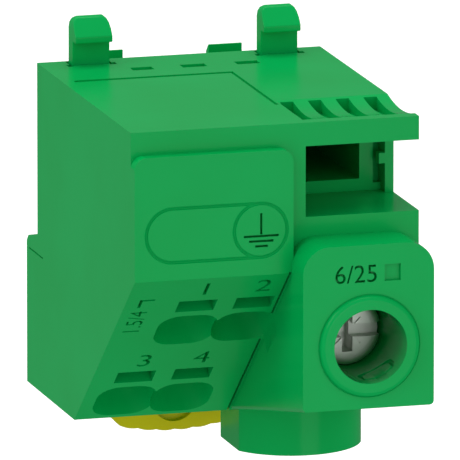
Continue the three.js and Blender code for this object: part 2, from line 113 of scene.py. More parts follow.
@dataclass(frozen=True)
class Slope:
    """The terminal face, which falls back from the foot of the front panel to the underside."""

    top_y: float = -1.7
    top_z: float = 23.0
    end_y: float = 25.7

    def length(self) -> float:
        """Return the distance down the face."""
        return math.hypot(self.end_y - self.top_y, self.top_z)

    def down(self) -> Vector:
        """Return the unit vector that points down the face."""
        return Vector((0, self.end_y - self.top_y, -self.top_z)) / self.length()

    def matrix(self) -> Matrix:
        """Return the placement of (across, down, into the body) on the face."""
        down = self.down()
        inward = Vector((1, 0, 0)).cross(down)
        columns = Matrix((Vector((1, 0, 0)), down, inward)).transposed().to_4x4()
        return Matrix.Translation((0, self.top_y, self.top_z)) @ columns

    def edge_z(self, y: float) -> float:
        """Return the height of the face at a depth y."""
        return self.top_z * (self.end_y - y) / (self.end_y - self.top_y)


# ---------------------------------------------------------------- modelling


def select_only(*objects: bpy.types.Object) -> None:
    """Deselect everything, then select these objects and make the first one active.

    Args:
        objects: The objects to work on.
    """
    bpy.ops.object.select_all(action="DESELECT")
    for item in objects:
        item.select_set(True)
    bpy.context.view_layer.objects.active = objects[0]


def settle(item: bpy.types.Object) -> bpy.types.Object:
    """Apply an object's place to its mesh.

    Args:
        item: The object whose location, rotation and scale go into its mesh.

    Returns:
        The same object, now at the origin.
    """
    select_only(item)
    bpy.ops.object.transform_apply(location=True, rotation=True, scale=True)
    return item


def transform(item: bpy.types.Object, matrix: Matrix) -> bpy.types.Object:
    """Move an object's mesh through a matrix.

    Args:
        item: The object.
        matrix: The placement, which is applied to the mesh.

    Returns:
        The same object.
    """
    item.data.transform(matrix)
    if matrix.determinant() < 0:
        item.data.flip_normals()
    return item


def cube(low: Triple, high: Triple) -> bpy.types.Object:
    """Add a box between two corners.

    Args:
        low: The lowest corner in mm.
        high: The highest corner in mm.

    Returns:
        The box.
    """
    middle = (Vector(low) + Vector(high)) / 2
    bpy.ops.object.select_all(action="DESELECT")
    bpy.ops.mesh.primitive_cube_add(size=1, location=middle, scale=Vector(high) - Vector(low))
    return settle(bpy.context.active_object)


def barrel(centre: Triple, radius: float, length: float, run: Run, sides: int = 64) -> bpy.types.Object:
    """Add a cylinder that starts at a point and runs along an axis.

    Args:
        centre: The middle of its first end.
        radius: Its radius.
        length: Its length.
        run: The axis that it runs along.
        sides: The number of its sides.

    Returns:
        The cylinder.
    """
    turn = {Run.X: (0, math.pi / 2, 0), Run.Y: (math.pi / 2, 0, 0), Run.Z: (0, 0, 0)}[run]
    middle = Vector(centre)
    middle[run.value[2]] += length / 2
    bpy.ops.object.select_all(action="DESELECT")
    bpy.ops.mesh.primitive_cylinder_add(
        vertices=sides, radius=radius, depth=length, location=middle, rotation=turn
    )
    return settle(bpy.context.active_object)


def lofted(rings: Sequence[Sequence[Sequence[float]]]) -> bpy.types.Object:
    """Build a closed solid through a row of rings that all have the same number of points.

    A flat disc is extruded once for each further ring, and its points are then moved to the rings.

    Args:
        rings: The rings' points, each ring in the same order.

    Returns:
        The closed solid.
    """
    count = len(rings[0])
    bpy.ops.object.select_all(action="DESELECT")
    bpy.ops.mesh.primitive_circle_add(vertices=count, radius=1, fill_type="NGON")
    item = bpy.context.active_object
    bpy.ops.object.mode_set(mode="EDIT")
    bpy.ops.mesh.select_all(action="SELECT")
    for _ in rings[1:]:
        bpy.ops.mesh.extrude_region_move(TRANSFORM_OT_translate={"value": (0, 0, 1)})
    bpy.ops.object.mode_set(mode="OBJECT")
    for vertex in item.data.vertices:
        turn = round(math.atan2(vertex.co.y, vertex.co.x) / math.tau * count - 0.25 * count) % count
        vertex.co = rings[round(vertex.co.z)][turn]
    bpy.ops.object.mode_set(mode="EDIT")
    bpy.ops.mesh.select_all(action="SELECT")
    bpy.ops.mesh.normals_make_consistent(inside=False)
    bpy.ops.object.mode_set(mode="OBJECT")
    return item


def extruded(points: Sequence[Point], run: Run, start: float, end: float) -> bpy.types.Object:
    """Extrude a closed outline along an axis.

    Args:
        points: The outline's corners, in the run's two other axes.
        run: The axis of the extrusion.
        start: Where it starts along that axis.
        end: Where it ends.

    Returns:
        The closed solid.
    """
    first, second, along = run.value

    def ring(level: float) -> list[Vector]:
        """Return the outline's points at one level of the run."""
        places = []
        for u, v in points:
            place = Vector((0, 0, 0))
            place[first], place[second], place[along] = u, v, level
            places.append(place)
        return places

    return lofted([ring(start), ring(end)])


def turned(profile: Sequence[Point], x: float, z: float, sides: int = 64) -> bpy.types.Object:
    """Turn a profile round an axis that runs along y.

    Args:
        profile: (radius, y) points from the front to the back.
        x: The axis's place across.
        z: The axis's height.
        sides: The number of sides.

    Returns:
        The closed solid.
    """
    angles = [math.tau * i / sides for i in range(sides)]
    return lofted([
        [Vector((x + r * math.cos(a), y, z + r * math.sin(a))) for a in angles] for r, y in profile
    ])


def finish_modifier(item: bpy.types.Object, kind: str, **settings: object) -> None:
    """Add a modifier, set it and apply it.

    Args:
        item: The object.
        kind: The modifier's type.
        settings: Its settings by name.
    """
    select_only(item)
    modifier = item.modifiers.new(kind.title(), kind)
    for name, value in settings.items():
        setattr(modifier, name, value)
    bpy.ops.object.modifier_apply(modifier=modifier.name)


def snap(item: bpy.types.Object) -> None:
    """Round an object's points to a fine grid, so that flush faces lie in exactly one plane.

    Args:
        item: The object.
    """
    places = np.empty(len(item.data.vertices) * 3, np.float32)
    item.data.vertices.foreach_get("co", places)
    item.data.vertices.foreach_set("co", (np.round(places / GRID) * GRID).astype(np.float32))
    item.data.update()


def combine(item: bpy.types.Object, tool: bpy.types.Object, how: Cut) -> bpy.types.Object:
    """Join, cut or trim one solid by another and remove the tool.

    Args:
        item: The solid that stays.
        tool: The solid that acts on it.
        how: Join, take away or keep what both share.

    Returns:
        The first solid.
    """
    snap(item)
    snap(tool)
    finish_modifier(item, "BOOLEAN", object=tool, operation=how.value, solver="EXACT")
    mesh = tool.data
    bpy.data.objects.remove(tool)
    bpy.data.meshes.remove(mesh)
    return item


def soften(item: bpy.types.Object, width: float, segments: int = 3) -> bpy.types.Object:
    """Round an object's sharp edges.

    Args:
        item: The object.
        width: How far the rounding reaches from an edge, in the mesh's own unit.
        segments: The number of its steps.

    Returns:
        The same object.
    """
    finish_modifier(
        item, "BEVEL", width=width, segments=segments, limit_method="ANGLE",
        angle_limit=SHARP_BEND, use_clamp_overlap=True,
    )
    return item


def round_edges(
    item: bpy.types.Object, chosen: Callable[[Vector, Vector], bool], width: float, segments: int = 6
) -> bpy.types.Object:
    """Round the edges that a test picks.

    Args:
        item: The object.
        chosen: A test of an edge's two ends.
        width: How far the rounding reaches from an edge.
        segments: The number of its steps.

    Returns:
        The same object.
    """
    select_only(item)
    mesh = item.data
    for part in (*mesh.vertices, *mesh.edges, *mesh.polygons):
        part.select = False
    for edge in mesh.edges:
        ends = [mesh.vertices[i].co for i in edge.vertices]
        edge.select = chosen(*ends)
    bpy.context.tool_settings.mesh_select_mode = (False, True, False)
    bpy.ops.object.mode_set(mode="EDIT")
    bpy.ops.mesh.bevel(offset=width, segments=segments, affect="EDGES", clamp_overlap=True)
    bpy.ops.object.mode_set(mode="OBJECT")
    return item


def clean(item: bpy.types.Object, distance: float = 1e-4) -> bpy.types.Object:
    """Merge doubled points and flatten needless edges.

    Args:
        item: The object.
        distance: How close two points are to be merged.

    Returns:
        The same object.
    """
    select_only(item)
    bpy.ops.object.mode_set(mode="EDIT")
    bpy.ops.mesh.select_all(action="SELECT")
    bpy.ops.mesh.remove_doubles(threshold=distance)
    bpy.ops.mesh.dissolve_limited(angle_limit=FLAT_BEND)
    bpy.ops.object.mode_set(mode="OBJECT")
    return item


def shade(item: bpy.types.Object) -> None:
    """Smooth an object's shading except across sharp edges.

    Args:
        item: The object.
    """
    select_only(item)
    bpy.ops.object.shade_smooth_by_angle(angle=SMOOTH_BEND)
    finish_modifier(item, "WEIGHTED_NORMAL", weight=60, keep_sharp=True)


def arc(centre: Point, radius: float, start: float, end: float, steps: int = 10) -> list[Point]:
    """Return points along an arc.

    Args:
        centre: The arc's centre.
        radius: Its radius.
        start: The angle of its first point in degrees.
        end: The angle of its last point.
        steps: The number of its steps.

    Returns:
        The points, both ends included.
    """
    angles = [math.radians(start + (end - start) * i / steps) for i in range(steps + 1)]
    return [(centre[0] + radius * math.cos(a), centre[1] + radius * math.sin(a)) for a in angles]


def rounded_panel(low: Point, high: Point, top: float, bottom: float = 0.0) -> list[Point]:
    """Return the outline of a rectangle with rounded corners.

    Args:
        low: Its lower left corner.
        high: Its upper right corner.
        top: The radius of the two upper corners.
        bottom: The radius of the two lower corners, or none.

    Returns:
        The outline's points.
    """
    (x0, z0), (x1, z1) = low, high
    if bottom:
        lower = arc((x0 + bottom, z0 + bottom), bottom, 180, 270, 5)
        lower += arc((x1 - bottom, z0 + bottom), bottom, 270, 360, 5)
    else:
        lower = [(x0, z0), (x1, z0)]
    return lower + arc((x1 - top, z1 - top), top, 0, 90) + arc((x0 + top, z1 - top), top, 90, 180)


def round_bar(points: Sequence[Triple], radius: float, closed: bool) -> bpy.types.Object:
    """Run a round bar along a line, as a tool that engraves it or as a wire.

    Args:
        points: The line's points.
        radius: The bar's radius.
        closed: Whether the line meets its own start.

    Returns:
        The bar as a closed mesh.
    """
    bpy.ops.object.select_all(action="DESELECT")
    bpy.ops.mesh.primitive_circle_add(vertices=len(points), radius=1, fill_type="NOTHING")
    item = bpy.context.active_object
    for vertex, place in zip(item.data.vertices, points, strict=True):
        vertex.co = place
    if not closed:
        select_only(item)
        for part in (*item.data.vertices, *item.data.edges):
            part.select = False
        closing = [e for e in item.data.edges if set(e.vertices) == {0, len(points) - 1}]
        closing[0].select = True
        bpy.context.tool_settings.mesh_select_mode = (False, True, False)
        bpy.ops.object.mode_set(mode="EDIT")
        bpy.ops.mesh.delete(type="EDGE")
        bpy.ops.object.mode_set(mode="OBJECT")
    select_only(item)
    bpy.ops.object.convert(target="CURVE")
    item.data.bevel_depth = radius
    item.data.bevel_resolution = 2
    item.data.use_fill_caps = not closed
    bpy.ops.object.convert(target="MESH")
    return clean(item)


def lettering(text: str, size: float, depth: float, place: Matrix) -> bpy.types.Object:
    """Make the tool that engraves a line of characters.

    Args:
        text: The characters.
        size: Their size in mm.
        depth: How far the tool reaches on each side of the surface.
        place: The placement of (right, up, out of the surface), centred on the text.

    Returns:
        The tool as a closed mesh.
    """
    bpy.ops.object.select_all(action="DESELECT")
    bpy.ops.object.text_add()
    item = bpy.context.active_object
    item.data.body = text
    item.data.size = size
    item.data.extrude = depth
    item.data.resolution_u = 4
    item.data.align_x = "CENTER"
    item.data.align_y = "CENTER"
    select_only(item)
    bpy.ops.object.convert(target="MESH")
    clean(item, 1e-3)
    return transform(item, place)


# ---------------------------------------------------------------- finishes


def linear(code: str) -> tuple[float, float, float, float]:
    """Turn an sRGB hex colour into linear values.

    Args:
        code: Six hex digits.

    Returns:
        Red, green, blue and alpha.
    """
    values = [int(code[i : i + 2], 16) / 255 for i in (0, 2, 4)]
    return *(v / 12.92 if v <= 0.04045 else ((v + 0.055) / 1.055) ** 2.4 for v in values), 1.0


def add_node(
    tree: bpy.types.NodeTree, kind: str, settings: dict[str, object], links: dict[str, bpy.types.NodeSocket]
) -> bpy.types.Node:
    """Add one shader node.

    Args:
        tree: The material's node tree.
        kind: The node's type.
        settings: Values by socket or property name.
        links: Output sockets of other nodes by the name of the input that they feed.

    Returns:
        The node.
    """
    node = tree.nodes.new(kind)
    for name, value in settings.items():
        if name in node.inputs:
            node.inputs[name].default_value = value
        else:
            setattr(node, name, value)
    for name, socket in links.items():
        tree.links.new(socket, node.inputs[name])
    return node


@dataclass(frozen=True)
class MouldedPlastic:
    """Injection-moulded polyamide: a semi-gloss skin with a fine spark-eroded grain and faint flow clouds."""

    name: str
    colour: str
    cloud: str
    roughness: float = 0.22
    gloss_spread: float = 0.03
    ior: float = 1.53
    specular: float = 0.13
    grain_mm: float = 0.18      # true grain is near 0.03 mm; drawn coarser so that it shows
    cloud_mm: float = 14.0
    grain_height_mm: float = 0.0006

    def build(self) -> bpy.types.Material:
        """Build the material and return it."""
        material = bpy.data.materials.new(self.name)
        material.use_nodes = True
        tree = material.node_tree
        shader = tree.nodes["Principled BSDF"]
        place = add_node(tree, "ShaderNodeTexCoord", {}, {}).outputs["Object"]
        cloud = add_node(
            tree, "ShaderNodeTexNoise", {"Scale": 1 / (self.cloud_mm * MM), "Detail": 3.0},
            {"Vector": place},
        )
        tint = add_node(tree, "ShaderNodeValToRGB", {}, {"Fac": cloud.outputs["Fac"]})
        tint.color_ramp.elements[0].position = 0.35
        tint.color_ramp.elements[0].color = linear(self.cloud)
        tint.color_ramp.elements[1].position = 0.65
        tint.color_ramp.elements[1].color = linear(self.colour)
        grain = add_node(
            tree, "ShaderNodeTexNoise", {"Scale": 1 / (self.grain_mm * MM), "Detail": 2.0},
            {"Vector": place},
        )
        gloss = add_node(
            tree, "ShaderNodeMapRange",
            {"To Min": self.roughness - self.gloss_spread, "To Max": self.roughness + self.gloss_spread},
            {"Value": grain.outputs["Fac"]},
        )
        bump = add_node(
            tree, "ShaderNodeBump", {"Strength": 1.0, "Distance": self.grain_height_mm * MM},
            {"Height": grain.outputs["Fac"]},
        )
        shader.inputs["IOR"].default_value = self.ior
        shader.inputs["Specular IOR Level"].default_value = self.specular
        tree.links.new(tint.outputs["Color"], shader.inputs["Base Color"])
        tree.links.new(gloss.outputs["Result"], shader.inputs["Roughness"])
        tree.links.new(bump.outputs["Normal"], shader.inputs["Normal"])
        return material


@dataclass(frozen=True)
class WorkedMetal:
    """Rolled, drawn or plated metal: a bright skin with fine lines left by working along one axis."""

    name: str
    colour: str
    stain: str
    roughness: float = 0.28
    line_mm: float = 0.12       # true lines are near 0.02 mm; drawn coarser so that they show
    stretch: Triple = (1.0, 12.0, 12.0)
    line_height_mm: float = 0.0005
    stain_mm: float = 4.0

    def build(self) -> bpy.types.Material:
        """Build the material and return it."""
        material = bpy.data.materials.new(self.name)
        material.use_nodes = True
        tree = material.node_tree
        shader = tree.nodes["Principled BSDF"]
        place = add_node(tree, "ShaderNodeTexCoord", {}, {}).outputs["Object"]
        mapping = add_node(tree, "ShaderNodeMapping", {"Scale": self.stretch}, {"Vector": place})
        line_scale = 1 / (self.line_mm * MM * max(self.stretch))
        lines = add_node(
            tree, "ShaderNodeTexNoise", {"Scale": line_scale, "Detail": 3.0},
            {"Vector": mapping.outputs["Vector"]},
        )
        patch = add_node(
            tree, "ShaderNodeTexNoise", {"Scale": 1 / (self.stain_mm * MM), "Detail": 3.0},
            {"Vector": place},
        )
        tint = add_node(tree, "ShaderNodeValToRGB", {}, {"Fac": patch.outputs["Fac"]})
        tint.color_ramp.elements[0].position = 0.3
        tint.color_ramp.elements[0].color = linear(self.stain)
        tint.color_ramp.elements[1].position = 0.6
        tint.color_ramp.elements[1].color = linear(self.colour)
        gloss = add_node(
            tree, "ShaderNodeMapRange",
            {"To Min": self.roughness - 0.08, "To Max": self.roughness + 0.1},
            {"Value": lines.outputs["Fac"]},
        )
        bump = add_node(
            tree, "ShaderNodeBump", {"Strength": 1.0, "Distance": self.line_height_mm * MM},
            {"Height": lines.outputs["Fac"]},
        )
        shader.inputs["Metallic"].default_value = 1.0
        tree.links.new(tint.outputs["Color"], shader.inputs["Base Color"])
        tree.links.new(gloss.outputs["Result"], shader.inputs["Roughness"])
        tree.links.new(bump.outputs["Normal"], shader.inputs["Normal"])
        return material


class Finishes:
    """The block's finishes, each built once and named by the record's slot."""

    def __init__(self) -> None:
        """Build every finish."""
        # Dyed polyamide: saturated, with a light skin where it is seen at a slant.
        green = MouldedPlastic("green_polyamide", "00AA52", "00A64E")
        yellow = MouldedPlastic("yellow_polyamide", "D0C800", "CAC000", specular=0.1)
        # Zinc plating over steel: bright and slightly grey, with soft turning lines.
        zinc = WorkedMetal("zinc_plated_steel", "F6F6F2", "EAEAE6", roughness=0.5)
        # Rolled stainless strip: cooler and duller than zinc.
        strip = WorkedMetal("rolled_stainless_strip", "B4B8BC", "A2A6AA", roughness=0.3)
        # Tinned copper bar: pale and warm, with a satin skin.
        tin = WorkedMetal("tinned_copper_bar", "CFC6B8", "C0B29E", roughness=0.38)
        recipes = {
            "green_plastic": green, "yellow_plastic": yellow, "plated_steel": zinc,
            "spring_steel": strip, "tinned_copper": tin,
        }
        self.materials = {slot: recipe.build() for slot, recipe in recipes.items()}

    def dress(self, item: bpy.types.Object, slot: str) -> None:
        """Give a piece its finish.

        Args:
            item: The piece.
            slot: The record's material slot.
        """
        item.data.materials.clear()
        item.data.materials.append(self.materials[slot])


@dataclass
class Piece:
    """What every sub-assembly shares: the datum, the finishes and the way that a piece is handed over."""

    finishes: Finishes
    datum: Datum = field(default_factory=Datum)

    def hand_over(
        self, item: bpy.types.Object, name: str, body: str, slot: str, nodes: Sequence[str]
    ) -> bpy.types.Object:
        """Name, place, dress and attach a finished piece.

        Args:
            item: The piece, modelled in block millimetres.
            name: Its name.
            body: The body that it rides on.
            slot: The record's material slot.
            nodes: The nodes that it stands for.

        Returns:
            The piece.
        """
        transform(item, self.datum.matrix())
        item.name = name
        item.data.name = name
        shade(item)
        self.finishes.dress(item, slot)
        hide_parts(*nodes)
        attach(item, body)
        LOG.info("%s rides on %s with %d faces", name, body, len(item.data.polygons))
        return item


# ---------------------------------------------------------------- housing


@dataclass(frozen=True)
class Entry:
    """One push-in terminal: its middle across the face, and how far down the face its parts lie."""

    number: str
    across: float
    slot: float
    cup: float
    digit: float


@dataclass
class HousingShell(Piece):
    """The green moulded shell with its front panel, terminal face, screw pod, lip and marks."""

    width: float = 36.0
    height: float = 41.0
    rail_y: float = 47.5
    back_y: float = 42.5
    cover_y: float = 40.9           # the rear cover closes the shell from here
    foot_top: float = 19.6
    foot_back: float = 18.6
    foot_chamfer: float = 0.8
    wall: float = 1.6
    slope_wall: float = 5.6
    edge: float = 0.16
    panel_width: float = 19.8
    panel_low: float = 12.0         # the terminal face cuts the panel off above this
    panel_top: float = 38.2
    panel_corner: float = 1.5
    pod_low: Triple = (19.6, -6.5, 6.85)
    pod_top: float = 27.0
    pod_corner: float = 3.4
    screw: Point = (27.75, 14.5)
    shank_hole: float = 3.3
    mouth: Point = (27.88, 14.6)    # the middle of the ring and of the screwdriver's bore
    ring_radius: float = 6.22
    ring_proud: float = 0.7
    access_radius: float = 4.55
    boss: Triple = (27.9, 27.6, -4.7)
    boss_radius: float = 8.7
    boss_left: float = 20.2
    cable_radius: float = 6.5
    lip_low: float = 38.1
    notch: Triple = (21.8, 12.5, 29.4)
    post: Point = (34.9, 10.7)
    scoop: Triple = (1.7, 13.4, 0.75)       # its front, its back and its depth in the middle
    window: tuple[Point, Point] = ((23.6, 30.9), (32.2, 36.6))
    divider: Point = (18.9, 20.9)   # the wall between the push-in clamps and the screw clamp
    hooks: Point = (3.8, 27.7)
    mark_depth: float = 0.8
    slope: Slope = field(default_factory=Slope)
    entries: tuple[Entry, ...] = (
        Entry("1", 9.2, 7.1, 13.3, 3.0), Entry("2", 16.4, 7.1, 13.3, 3.0),
        Entry("3", 5.4, 25.15, 31.4, 21.1), Entry("4", 12.6, 25.15, 31.4, 21.1),
    )

    def body(self) -> bpy.types.Object:
        """Return the main block with its front panel and terminal face."""
        side = [
            (0, self.height), (0, 0), (self.rail_y, 0), (self.rail_y, self.foot_back - self.foot_chamfer),
            (self.rail_y - self.foot_chamfer, self.foot_back), (self.back_y, self.foot_top),
            (self.back_y, self.height),
        ]
        block = extruded(side, Run.X, 0, self.width)
        face = rounded_panel((0, self.panel_low), (self.panel_width, self.panel_top), self.panel_corner)
        combine(block, extruded(face, Run.Y, self.slope.top_y, 2), Cut.JOIN)
        low = -3.0
        end = self.slope.end_y - low * (self.slope.end_y - self.slope.top_y) / self.slope.top_z
        wedge = [(low, self.slope.edge_z(low)), (low, low), (end, low)]
        combine(block, extruded(wedge, Run.X, -1, self.width + 1), Cut.TAKE)
        x, y, z = self.notch
        combine(block, cube((x, -1, z), (self.width + 1, y, self.lip_low)), Cut.TAKE)
        post_x, post_y = self.post
        post = cube((post_x, post_y, z - 0.5), (self.width, y + 0.5, self.lip_low + 0.5))
        catch = cube((post_x - 0.75, post_y, 33), (post_x + 0.2, y + 0.5, 34.3))
        return combine(combine(block, post, Cut.JOIN), catch, Cut.JOIN)

    def pod(self) -> bpy.types.Object:
        """Return the screw terminal's housing, with its soft front corner."""
        x, y, z = self.pod_low
        arch = rounded_panel((x, -1), (self.width, self.pod_top), self.pod_corner)
        pod = extruded(arch, Run.Y, y, self.slope.end_y + 1.5)
        end = self.slope.end_y + 0.2
        side = [
            (y - 1, 30), (y - 1, z * (end - y + 1) / (end - y)), (end, 0), (end + 2, 0.4), (end + 2, 30),
        ]
        combine(pod, extruded(side, Run.X, x - 1, self.width + 1), Cut.KEEP)

        def front_left(a: Vector, b: Vector) -> bool:
            """Tell whether an edge is the upright one at the front left."""
            return max(abs(a.x - x), abs(b.x - x), abs(a.y - y), abs(b.y - y)) < 0.01

        def underside(a: Vector, b: Vector) -> bool:
            """Tell whether an edge runs back along the underside, at the left or the right."""
            beside = abs(a.x - b.x) < 0.01 and min(abs(a.x - x), abs(a.x - self.width)) < 0.01
            return beside and abs(a.y - b.y) > 20 and max(a.z, b.z) < z + 0.5

        round_edges(clean(pod), underside, 0.65, 5)
        return round_edges(pod, front_left, 0.8, 5)

    def ring(self) -> bpy.types.Object:
        """Return the raised ring round the screw."""
        x, z = self.mouth
        ring = barrel((x, self.pod_low[1] - self.ring_proud, z), self.ring_radius, 6, Run.Y, 96)
        return soften(ring, 0.6, 5)

    def cable_boss(self) -> bpy.types.Object:
        """Return the round collar of the cable entry under the block."""
        x, y, z = self.boss
        collar = barrel((x, y, z), self.boss_radius, 2 - z, Run.Z, 112)
        return combine(collar, cube((self.boss_left, 0, z - 1), (self.width, self.back_y, 3)), Cut.KEEP)

    def hollow(self, shell: bpy.types.Object) -> None:
        """Cut the chambers for the clamps, the openings at the back, and the bores."""
        wall, cover = self.wall, self.cover_y
        slope_in = self.slope.matrix() @ Vector((0, 0, self.slope_wall))
        run = (self.slope.end_y - self.slope.top_y) / self.slope.top_z
        clamps = [
            (wall, self.height - wall), (wall, slope_in.z - (wall - slope_in.y) / run),
            (slope_in.y + (slope_in.z - wall) * run, wall), (cover, wall), (cover, self.height - wall),
        ]
        screw_room = [(7.2, 27.2), (7.2, 6.2), (18.9, 3.2), (27.6, wall), (cover, wall), (cover, 27.2)]
        sx, sz = self.screw
        tools = [
            extruded(clamps, Run.X, wall, self.divider[0]),
            extruded(screw_room, Run.X, self.divider[1], self.width - wall),
            cube((wall, cover - 0.3, -1), (self.width - wall, self.rail_y + 1, self.height - wall)),
            cube((self.divider[0] - 1, 20.3, 22.5), (self.divider[1] + 1, cover, 25.1)),
            barrel((self.mouth[0], -8.5, self.mouth[1]), self.access_radius, 14.6, Run.Y, 96),
            barrel((sx, 0, sz), self.shank_hole, 8.2, Run.Y),
            barrel((self.boss[0], self.boss[1], self.boss[2] - 1), self.cable_radius, 9.3, Run.Z, 96),
        ]
        for tool in tools:
            combine(shell, tool, Cut.TAKE)

    def lip(self, shell: bpy.types.Object) -> None:
        """Cut the scooped top of the lip, its grip pockets, the window and the recess by the post."""
        y0, y1, sag = self.scoop
        span = y1 - y0
        radius = (span * span / 4 + sag * sag) / (2 * sag)
        axis = (self.notch[0] + 0.1, (y0 + y1) / 2, self.height - sag + radius)
        combine(shell, barrel(axis, radius, 16, Run.X, 384), Cut.TAKE)
        floor = [
            (2.3, 0.3), (3.4, 0.62), (4.5, 0.95), (5.7, 1.2), (7.0, 1.4), (8.4, 1.58), (9.8, 1.7),
            (12.8, 1.85),
        ]
        side = [(floor[-1][0], self.height + 1), (floor[0][0], self.height + 1)]
        side += [(y, self.height - deep) for y, deep in floor]
        first, pitch, half = 23.1, 3.5, 0.825
        for i in range(4):
            middle = first + pitch * i
            combine(shell, extruded(side, Run.X, middle - half, middle + half), Cut.TAKE)
        y = self.notch[1]
        (x0, z0), (x1, z1) = self.window
        combine(shell, cube((x0, y - 1, z0), (x1, y + 27.5, z1)), Cut.TAKE)
        combine(shell, cube((33.9, y - 0.5, 30.3), (34.9, y + 1.2, 37.9)), Cut.TAKE)

    def cup(self, entry: Entry) -> bpy.types.Object:
        """Return the tool for a wire entry: a wide rounded mouth that draws in smoothly to a bore."""
        place = self.slope.matrix()
        # Each stage: depth, half width, half height and corner radius.
        stages = [
            (-2.5, 3.76, 3.7, 2.6), (0.0, 3.74, 3.68, 2.6), (0.5, 3.62, 3.6, 2.6), (1.4, 3.42, 3.45, 2.6),
            (2.4, 3.16, 3.25, 2.6), (3.4, 2.84, 2.9, 2.5), (4.2, 2.45, 2.5, 2.3), (4.9, 1.8, 1.8, 1.8),
            (6.4, 1.8, 1.8, 1.8),
        ]
        rings = []
        for deep, half_u, half_v, corner in stages:
            bend = min(corner, half_u, half_v) * 0.999
            flat = rounded_panel(
                (entry.across - half_u, entry.cup - half_v), (entry.across + half_u, entry.cup + half_v),
                bend, bend,
            )
            rings.append([place @ Vector((u, v, deep)) for u, v in flat])
        return lofted(rings)

    def slot(self, entry: Entry) -> bpy.types.Object:
        """Return the tool for a release slot."""
        half, high, deep = 2.4, 1.38, 6.2
        tool = cube((-half, -high, -0.6), (half, high, deep))
        return transform(tool, self.slope.matrix() @ Matrix.Translation((entry.across, entry.slot, 0)))

    def terminals(self, shell: bpy.types.Object) -> None:
        """Cut the slots, the wire entries and the groove along the pod's wall."""
        for entry in self.entries:
            combine(shell, self.slot(entry), Cut.TAKE)
            combine(shell, self.cup(entry), Cut.TAKE)
        for start, end in ((-0.1, 10.4), (17.0, 36.6)):
            channel = cube((19.25, start, -0.5), (19.55, end, 0.8))
            combine(shell, transform(channel, self.slope.matrix()), Cut.TAKE)

    def on_front(self, x: float, z: float, y: float) -> Matrix:
        """Return the placement of (right, up, out) on a face that looks forward.

        Args:
            x: Its middle across.
            z: Its middle in height.
            y: The face's depth.
        """
        axes = Matrix(((1, 0, 0), (0, 0, -1), (0, 1, 0))).to_4x4()
        return Matrix.Translation((x, y, z)) @ axes

    def on_slope(self, across: float, down: float, upright: bool) -> Matrix:
        """Return the placement of (right, up, out) on the terminal face.

        Args:
            across: The middle across the face.
            down: The middle's distance down the face.
            upright: Whether the line reads across, or else up the face.
        """
        axes = ((1, 0, 0), (0, -1, 0), (0, 0, -1)) if upright else ((0, -1, 0), (-1, 0, 0), (0, 0, -1))
        return self.slope.matrix() @ Matrix.Translation((across, down, 0)) @ Matrix(axes).to_4x4()

    def marks(self, shell: bpy.types.Object) -> None:
        """Engrave the terminal numbers, the wire sizes, the earth symbol and its frame."""
        deep, front = self.mark_depth, self.slope.top_y
        symbol, far, bend = (15.7, 28.5), (4.75, 28.5), 3.3
        pill = arc(symbol, bend, 90, -90, 24) + arc(far, bend, 270, 90, 24)
        inner = arc(symbol, bend, 91, 269, 24)
        for line, closed in ((pill, True), (inner, False)):
            combine(shell, round_bar([Vector((x, front, z)) for x, z in line], 0.22, closed), Cut.TAKE)
        bars = [
            (15.63, 15.91, 28.0, 30.6), (13.6, 17.95, 27.66, 27.94), (14.25, 17.3, 27.04, 27.32),
            (15.0, 16.6, 26.42, 26.7),
        ]
        for x0, x1, z0, z1 in bars:
            combine(shell, cube((x0, front - 0.3, z0), (x1, front + deep, z1)), Cut.TAKE)
        letters = [
            lettering(entry.number, 4.3, deep, self.on_slope(entry.across + 0.35, entry.digit, True))
            for entry in self.entries
        ]
        letters.append(lettering("1.5/4", 3.0, deep, self.on_slope(2.35, 10.6, False)))
        letters.append(lettering("6/25", 3.1, deep, self.on_front(26.25, 23.35, self.pod_low[1])))
        for tool in letters:
            combine(shell, tool, Cut.TAKE)
        corner = [(-0.9, -1.0), (1.0, -1.0), (1.0, -0.62), (-0.52, -0.62), (-0.52, 1.0), (-0.9, 1.0)]
        angle = extruded(corner, Run.Z, -0.3, deep)
        combine(shell, transform(angle, self.slope.matrix() @ Matrix.Translation((2.6, 5.7, 0))), Cut.TAKE)
        y = self.pod_low[1]
        combine(shell, cube((29.8, y - 0.5, 22.45), (31.8, y + 0.45, 24.5)), Cut.TAKE)
        loop = []
        for across, along in rounded_panel((-1.0, -1.0), (1.0, 1.0), 0.98, 0.3):
            turn = math.radians(-66 + 27 * across)
            loop.append(Vector((
                self.mouth[0] + self.access_radius * math.cos(turn), y + 3.1 + 1.6 * along,
                self.mouth[1] + self.access_radius * math.sin(turn),
            )))
        combine(shell, round_bar(loop, 0.3, True), Cut.TAKE)
        steps = 72
        around = arc(self.mouth, self.ring_radius + 0.08, 0, 360 * (steps - 1) / steps, steps - 1)
        foot = [Vector((u, y, v)) for u, v in around]
        combine(shell, round_bar(foot, 0.07, True), Cut.TAKE)

